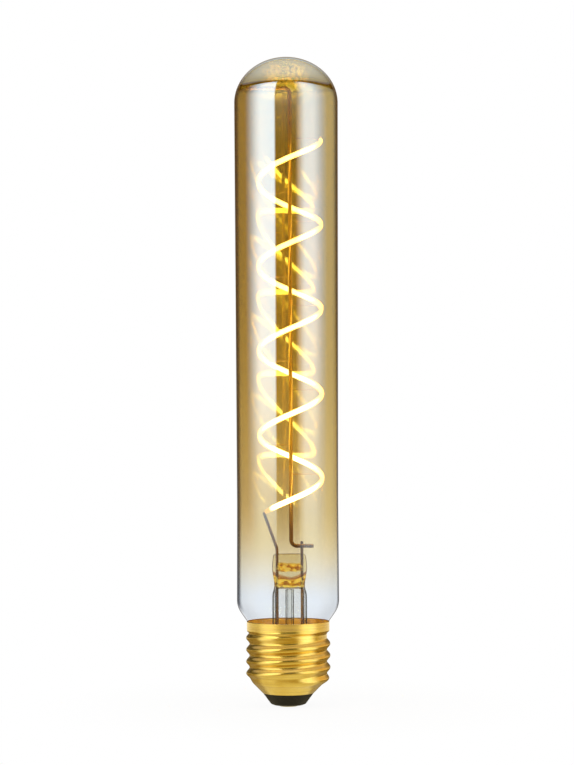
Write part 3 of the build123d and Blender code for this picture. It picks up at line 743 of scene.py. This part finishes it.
def filamentStrip():
    # superellipse section carried along the helix, its wide side facing out from the post
    angle = strip["start"] + 360 * strip["turns"] * np.linspace(0, 1, strip["stations"])
    spot, out, way = coilSpot(angle)
    across = np.cross(way, out)
    a = circle(strip["sides"])
    px = squarish(np.cos(a), strip["squareness"]) * strip["thickness"] / 2
    py = squarish(np.sin(a), strip["squareness"]) * strip["width"] / 2
    size = np.ones(len(angle))
    size[[0, -1]], size[[1, -2]] = strip["ends"]
    ring = out[:, None] * px[:, None] + across[:, None] * py[:, None]
    rings = spot[:, None] + ring * size[:, None, None]
    return meshPiece("lit_strip", rings, "filament", [litStrip()], caps=(spot[0], spot[-1]),
                     sharp=60.0)


def drawnWire(name, light, dark, shine=0.32, upper=None, glow=(0.0, 0.0, 0.0), metal=0.3):
    # drawn wire with heat tint in patches along it, painted paler above the foot where an upper colour is
    # given, standing in for the strip's light on the wire; a glow, where given, is painted light
    f = Finish(name)
    patch = f.noise(160.0, 3.0, (1, 1, 0.5))
    grain = f.noise(1500.0, 2.0, (1, 1, 0.05))
    colour = f.blend(patch.step(0.35, 0.68), dark, light)
    if upper:
        colour = f.blend(f.place(2).step(*wires["coilLitFrom"]) * (0.7 + patch * 0.3), colour, upper)
    return f.show(f.body(Base_Color=colour, Metallic=metal, Roughness=shine + grain * 0.16,
                         Specular_IOR_Level=0.25, Normal=f.bump(grain, 0.1, 0.0001), Emission_Color=glow,
                         Emission_Strength=1.0))


tab = {
    "run": (0.0, 0.12, 1.1, 2.2, 2.42, 2.5), "wide": (0.6, 0.7, 0.7, 0.62, 0.45, 0.3),
    "thick": (0.15, 0.2, 0.2, 0.2, 0.16, 0.1), "squareness": 0.5, "sides": 24,
    "tints": ((0.66, 0.48, 0.22), (0.40, 0.26, 0.08)), "glow": (1.0, 0.62, 0.16),
}
# painted glow on the tab metal, standing in for the strip's light spilling onto it
tabFinish = drawnWire("tab metal", *tab["tints"], glow=tab["glow"])


def tabPiece(name, node, angle, sign):
    # flat tab with rounded edges that runs on from the end of the strip: a squarish ring at each step of
    # the run
    spot, out, way = coilSpot(angle)
    across = np.cross(way, out)
    run, wide, thick = (np.array(tab[key])[:, None] for key in ("run", "wide", "thick"))
    a = circle(tab["sides"])
    px = squarish(np.cos(a), tab["squareness"]) * thick
    py = squarish(np.sin(a), tab["squareness"]) * wide
    rings = spot + way * sign * run[..., None] + out * px[..., None] + across * py[..., None]
    ends = (spot, spot + way * sign * tab["run"][-1])
    return meshPiece(name, rings, node, [tabFinish], caps=ends)


wires = {
    "lead": 0.45, "post": 0.6, "thin": 0.18, "bite": 0.05, "foot": 11.5, "leftX": -3.35, "rightX": 4.35,
    "postX": 1.05, "postY": -1.10, "leftBend": 48.6, "leftRound": 2.0, "leftGap": 3.0, "rightTop": 50.8,
    "postFoot": 49.4, "footReach": 6.9, "postTop": 190.5, "tail": 13.4, "postRounds": (1.8, 1.6),
    "armAngles": (15.0, 140.0), "armTurns": 4, "jumperReach": 1.5, "jumperGap": 0.15, "thinSides": 12,
    "thinPoints": 8, "leadTints": ((0.30, 0.14, 0.020), (0.13, 0.05, 0.006)),
    "postTints": ((0.36, 0.18, 0.012), (0.17, 0.08, 0.005)), "postCoilLit": (0.95, 0.62, 0.14),
    "coilLitFrom": (0.052, 0.075), "thinTints": ((0.72, 0.46, 0.13), (0.46, 0.28, 0.07)),
}
wireFinish = drawnWire("lead wire", *wires["leadTints"])
# the post is painted paler above its foot, standing in for the strip's light falling on it
postFinish = drawnWire("post wire", *wires["postTints"], shine=0.2, upper=wires["postCoilLit"], metal=0.8)
thinFinish = drawnWire("support wire", *wires["thinTints"])


def mountWires():
    # left lead bent out to the strip, right lead straight, post with its foot and bent top
    spot, out, way = coilSpot(strip["start"])
    joint = spot - way * wires["leftGap"]
    bend = np.array([wires["leftX"], 0, wires["leftBend"]])
    lean = joint - bend
    sideways = (-lean[1], lean[0], 0)
    left = bentPath([(wires["leftX"], 0, wires["foot"]), bend, joint], (wires["leftRound"],), steps=14)
    left = filled(left, gap=2.0)
    wirePiece("left_lead", left, wires["lead"], sideways, "filament_lead", wireFinish)
    right = np.array([(wires["rightX"], 0, end) for end in (wires["foot"], wires["rightTop"])])
    right = filled(right, gap=2.0)
    wirePiece("right_lead", right, wires["lead"], (0, 1, 0), "post_lead", wireFinish)
    x, y, low, high = wires["postX"], wires["postY"], wires["postFoot"], wires["postTop"]
    post = [(x + wires["footReach"], y, low), (x, y, low), (x, y, high), (x - wires["tail"], y, high)]
    post = filled(bentPath(post, wires["postRounds"], steps=14), gap=3.0)
    wirePiece("post_wire", post, wires["post"], (0, 1, 0), "centre_post", postFinish)


def thinWire(name, start, end, node):
    # a straight thin wire between two points
    run = np.linspace(start, end, wires["thinPoints"])
    wirePiece(name, run, wires["thin"], (0, 0, 1), node, thinFinish, wires["thinSides"])


def armWires():
    # thin arms from the post straight out to the inside of the strip, and a jumper from the post to the
    # upper tab
    x, y = wires["postX"], wires["postY"]
    inside = wires["post"] - wires["bite"]
    outside = strip["radius"] - strip["thickness"] / 2 + wires["bite"]
    angles = [angle + 360 * loopTurn for loopTurn in range(wires["armTurns"]) for angle in wires["armAngles"]]
    for count, angle in enumerate(angles, 1):
        spot, out, way = coilSpot(angle)
        middle = np.array([x, y, spot[2]])
        thinWire(f"arm_{count}", middle + out * inside, middle + out * outside, f"support_wire_{count}")
    spot, out, way = coilSpot(topAngle)
    end = spot + way * wires["jumperReach"]
    middle = np.array([x, y, end[2]])
    way = unit(end - middle)
    thinWire("top_jumper", middle + way * inside, end - way * wires["jumperGap"], "upper_jumper")


filamentStrip()
tabPiece("low_tab", "lower_terminal", strip["start"], -1.0)
tabPiece("high_tab", "upper_terminal", topAngle, 1.0)
print("filament made")
mountWires()
armWires()
print("wires made")

# pieces in the cap that keep their solids
innerFinishes = {
    "basing_cement": warmBrass("cement", scale=500.0),
    "driver_board": plainSolid("board laminate", (0.86, 0.85, 0.79), (0.74, 0.72, 0.64), 300.0, 0.5),
    "driver_chip": plainSolid("chip body", (0.05, 0.05, 0.05), (0.02, 0.02, 0.02), 900.0, 0.5),
    "rectifier": plainSolid("rectifier body", (0.05, 0.05, 0.05), (0.02, 0.02, 0.02), 900.0, 0.5),
    "buffer_capacitor": plainSolid("capacitor sleeve", (0.10, 0.11, 0.15), (0.06, 0.06, 0.09), 300.0, 0.35),
    "fuse_resistor": plainSolid("resistor coat", (0.36, 0.52, 0.43), (0.26, 0.40, 0.32), 600.0, 0.5),
    "shell_wire": drawnWire("shell wire", (0.62, 0.60, 0.56), (0.42, 0.40, 0.36)),
}
for nodeName, finish in innerFinishes.items():
    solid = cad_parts[nodeName]
    solid.data.materials.clear()
    solid.data.materials.append(finish)
print("inner pieces finished")

# studio: distances over the floor in metres, ways as parts of a unit vector, tones as a colour and a strength
ground = {
    "size": 4.0, "dusk": (0.008, 0.045), "behind": (0.004, 0.03), "sandyLight": (0.17, 0.25),
    "brown": (0.17, 0.27), "paintedLightPools": (0.012, 0.05), "split": (-0.01, 0.01), "dim": (0.25, 1.3),
    "white": (0.02, 0.09), "brownShare": 0.6, "shadowShare": 0.07, "besideWay": (-0.35, 0.05),
    "lobesFrom": (-0.95, -0.68), "lobesTo": (-0.45, 0.05),
    "paint": ((0.86, 0.86, 0.86), (0.88, 0.88, 0.88)), "roughness": 0.8,
    # tones for mirrored rays: painted light and painted shade on the floor
    "tones": {
        "white": ((1.0, 1.0, 1.0), 1.0), "dim": ((1.0, 1.0, 1.0), 0.06), "left": ((1.0, 1.0, 1.0), 1.45),
        "right": ((1.0, 1.0, 1.0), 1.75), "umberShade": ((0.45, 0.32, 0.10), 1.0),
        "sandyLight": ((1.0, 0.88, 0.58), 1.05), "dusk": ((1.0, 0.90, 0.58), 0.82),
        "brown": ((0.16, 0.09, 0.015), 1.0),
    },
}


def paleFloor():
    # one square, white to the camera but for a soft shadow near the lamp; mirrored rays see painted light and
    # shade on it: warm painted shade near and beside the lamp that changes with the distance from it, and two
    # painted pools of light in front, to the left and right
    size = ground["size"]
    mesh = bpy.data.meshes.new("floor")
    corners = [(-size, -size, 0), (size, -size, 0), (size, size, 0), (-size, size, 0)]
    mesh.from_pydata(corners, [], [(0, 1, 2, 3)])
    f = Finish("pale floor")
    x, y = f.place(0), f.place(1)
    far = f.add("ShaderNodeVectorMath", {"operation": "LENGTH"}, {0: f.place()}, out=1)
    toward = y / (far + 0.0001)  # -1 in front of the lamp, 1 behind it
    tones = {key: f.glow(*tone) for key, tone in ground["tones"].items()}
    near = f.mixed(far.step(*ground["dusk"]), tones["dusk"], tones["umberShade"])
    near = f.mixed(y.step(*ground["behind"]), near, tones["umberShade"])
    near = f.mixed(far.step(*ground["sandyLight"]), near, tones["sandyLight"])
    # painted shade beside the lamp, in brown
    beside = toward.step(*ground["besideWay"]) * (1.0 - far.step(*ground["brown"])) * ground["brownShare"]
    near = f.mixed(beside, near, tones["brown"])
    # painted pools of light in front, to the left and right
    paintedLightPools = toward.step(*ground["lobesFrom"]) * (1.0 - toward.step(*ground["lobesTo"]))
    paintedLightPools = paintedLightPools * far.step(*ground["paintedLightPools"])
    near = f.mixed(paintedLightPools, near, f.mixed(x.step(*ground["split"]), tones["left"], tones["right"]))
    near = f.mixed(far.step(*ground["dim"]), near, tones["dim"])
    pale = f.body(Base_Color=f.blend(f.noise(40.0, 2.0), *ground["paint"]), Roughness=ground["roughness"])
    surface = f.mixed(f.ray("Glossy"), pale, near)
    whiteness = 1.0 - ground["shadowShare"] + far.step(*ground["white"]) * ground["shadowShare"]
    seen = f.ray("Camera").larger(f.ray("Transmission")) * whiteness
    mesh.materials.append(f.show(f.mixed(seen, surface, tones["white"])))
    floor = placed("floor", mesh)


ceiling = {
    "edge": 0.623, "blur": 0.012, "tilt": 0.295, "gap": (-0.10, -0.08), "overhead": (0.61, 0.96),
    "lampTop": 0.191, "highFrom": (0.132, 0.17), "highWay": (-0.95, -0.8), "flankWay": (-0.5, 0.3),
    "backWay": (-0.2, 0.2),
    "tones": {
        "white": ((1.0, 1.0, 1.0), 1.0), "fill": ((1.0, 1.0, 1.0), 0.8), "black": ((0.0, 0.0, 0.0), 0.0),
        "front": ((1.0, 0.60, 0.20), 0.06), "frontHigh": ((1.0, 1.0, 0.74), 0.22),
        "flank": ((1.0, 0.72, 0.40), 0.12), "ceiling": ((1.0, 0.84, 0.66), 0.35),
        "overhead": ((1.0, 0.84, 0.70), 1.10), "low": ((1.0, 1.0, 1.0), 0.05),
    },
}


def studioWorld():
    # white to the camera and an even fill for the light; mirrored rays see a pale ceiling, a dim room and a
    # dark gap between them, the ceiling being all ways whose height plus a share of their depth is above
    # its edge
    world = bpy.data.worlds.new("studio")
    bpy.context.scene.world = world
    w = Finish("studio", world)
    way = w.add("ShaderNodeTexCoord", out=0)
    y, z = w.axisOf(way, 1), w.axisOf(way, 2)
    tilt = z + y * ceiling["tilt"]
    above = tilt.step(ceiling["edge"], ceiling["edge"] + ceiling["blur"])
    gap = tilt.step(*(ceiling["edge"] + side for side in ceiling["gap"]))
    tones = {key: w.add("ShaderNodeBackground", values={"Color": colour, "Strength": strength})
             for key, (colour, strength) in ceiling["tones"].items()}
    high = z.step(*ceiling["highFrom"]) * (1.0 - y.step(*ceiling["highWay"]))
    front = w.mixed(high, tones["front"], tones["frontHigh"])
    room = w.mixed(gap, w.mixed(y.step(*ceiling["flankWay"]), front, tones["flank"]), tones["black"])
    room = w.mixed(above, room, w.mixed(tilt.step(*ceiling["overhead"]), tones["ceiling"], tones["overhead"]))
    behind = w.mixed(y.step(*ceiling["backWay"]), tones["low"], tones["white"])
    shown = w.mixed(w.ray("Transmission"), w.mixed(w.ray("Glossy"), tones["fill"], room), behind)
    w.show(w.mixed(w.ray("Camera"), shown, tones["white"]))


panels = {
    "left_panel": {"reach": 700.0, "angles": (-22.5, -27.5, -53.0, -107.0), "levels": (0.36, 1.0),
                   "colour": (2.08, 1.98, 1.84)},
    "right_panel": {"reach": 700.0, "angles": (18.0, 45.0, 58.0, 108.0), "levels": (0.80, 1.0),
                    "colour": (1.62, 1.56, 1.45)},
    "far_right_panel": {"reach": 730.0, "angles": (70.0, 96.0, 116.0, 165.0), "levels": (1.0, 0.65),
                        "colour": (1.20, 0.80, 0.36)},
}
panelGrid = {"steps": 24, "foot": 0.005, "levelRise": (0.0, 0.12)}


def lightPanel(name, reach, angles, levels, colour):
    # an upright panel bent round the lamp; its light rises and falls with the angle from the camera,
    # counted to the right, and its top follows the tilt of the ceiling: sin(e) - tilt * cos(angle) * cos(e)
    # = the ceiling's edge
    inner, innerFull, outerFull, outer = angles
    low, high = levels
    steps = panelGrid["steps"]
    angle = np.radians(np.linspace(inner, outer, steps + 1))
    radius = reach * mm
    lean = ceiling["tilt"] * np.cos(angle)
    climb = np.arcsin((ceiling["edge"] + ceiling["gap"][1]) / np.hypot(1, lean)) + np.arctan(lean)
    points = np.stack([np.sin(angle) * radius, -np.cos(angle) * radius, 0 * angle + panelGrid["foot"]], -1)
    tops = points.copy()
    tops[:, 2] = ceiling["lampTop"] + radius * np.tan(climb)
    index = np.arange(steps)
    quads = np.stack([index, index + 1, index + steps + 2, index + steps + 1], -1)
    mesh = bpy.data.meshes.new(name)
    mesh.from_pydata(np.vstack([points, tops]).tolist(), [], quads.tolist())
    layer = mesh.uv_layers.new(name="along")
    share = np.stack([index, index + 1, index + 1, index], -1) / steps
    layer.data.foreach_set("uv", np.stack([share, 0 * share], -1).ravel())
    f = Finish(name)
    along = f.along()
    span = outer - inner
    level = along.step(0.0, (innerFull - inner) / span) * (1.0 - along.step((outerFull - inner) / span, 1.0))
    level = level * (low + f.place(2).step(*panelGrid["levelRise"]) * (high - low))
    mesh.materials.append(f.show(f.mixed(level, f.sheet((1.0, 1.0, 1.0)), f.glow(colour))))
    panel = placed(name, mesh)
    panel.visible_camera = False


view = {
    "distance": 648.0, "eye": 80.5, "side": -0.12, "lens": 98.8, "sensor": 36.0, "shift": 0.0817,
    "roll": 0.243, "clip": (0.01, 20.0),
}


def cameraView():
    # a long lens that looks level at the lamp from the front; its frame is moved up by the shift and rolled
    # a little
    lens = bpy.data.cameras.new("camera")
    lens.lens, lens.sensor_width = view["lens"], view["sensor"]
    lens.shift_y = view["shift"]
    lens.clip_start, lens.clip_end = view["clip"]
    eye = placed("camera", lens)
    eye.location = (view["side"] * mm, -view["distance"] * mm, view["eye"] * mm)
    eye.rotation_euler = (np.pi / 2, np.radians(view["roll"]), 0)
    bpy.context.scene.camera = eye


paleFloor()
studioWorld()
for panelName, panelLook in panels.items():
    lightPanel(panelName, **panelLook)
cameraView()
bpy.context.scene.view_settings.view_transform = "Standard"
print("studio made")
